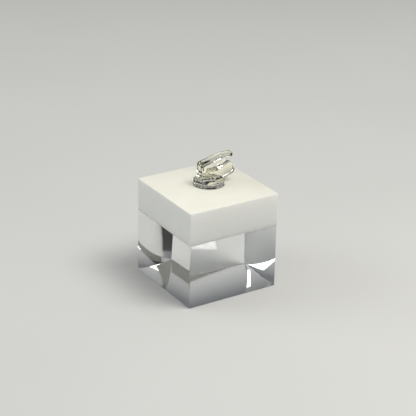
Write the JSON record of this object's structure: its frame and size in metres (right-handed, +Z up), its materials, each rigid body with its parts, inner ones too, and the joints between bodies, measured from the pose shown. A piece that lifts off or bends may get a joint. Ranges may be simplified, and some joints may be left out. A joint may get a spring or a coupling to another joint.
{
  "type": "acrylic display cube",
  "caption": "Small clear acrylic display cube with a bonded opal top slab and a loose clear ring clip standing on it.",
  "frame": {"origin": "middle of the cube's underside", "axes": "+Z up; -Y is the cube's wide side in the usual view, -X its narrow side; the clip's mouth opens towards +X"},
  "size_m": [0.0254, 0.0254, 0.0328],
  "materials": {
    "clear_acrylic": "clear cast acrylic, polished faces",
    "bond": "clear solvent cement line",
    "opal_acrylic": "opal white acrylic, polished",
    "clear_moulding": "clear injection moulding, slightly yellow"
  },
  "bodies": {
    "cube": {"clear_block": "clear_acrylic", "bond_film": "bond", "opal_slab": "opal_acrylic"},
    "clip": {"clip_foot": "clear_moulding", "clip_jaw": "clear_moulding", "clip_spine": "clear_moulding"},
    "flap": {"clip_flap": "clear_moulding"}
  },
  "joints": [
    {"name": "clip_lift", "type": "slide", "parent": "cube", "child": "clip", "axis": [0, 0, 1], "range_m": [0, 0.02]},
    {"name": "flap_flex", "type": "hinge", "parent": "clip", "child": "flap", "pos_m": [-0.0018, 0.0011, 0.0305], "axis": [0, -1, 0], "range_deg": [0, 12], "stiffness_Nm_per_rad": 0.002}
  ]
}
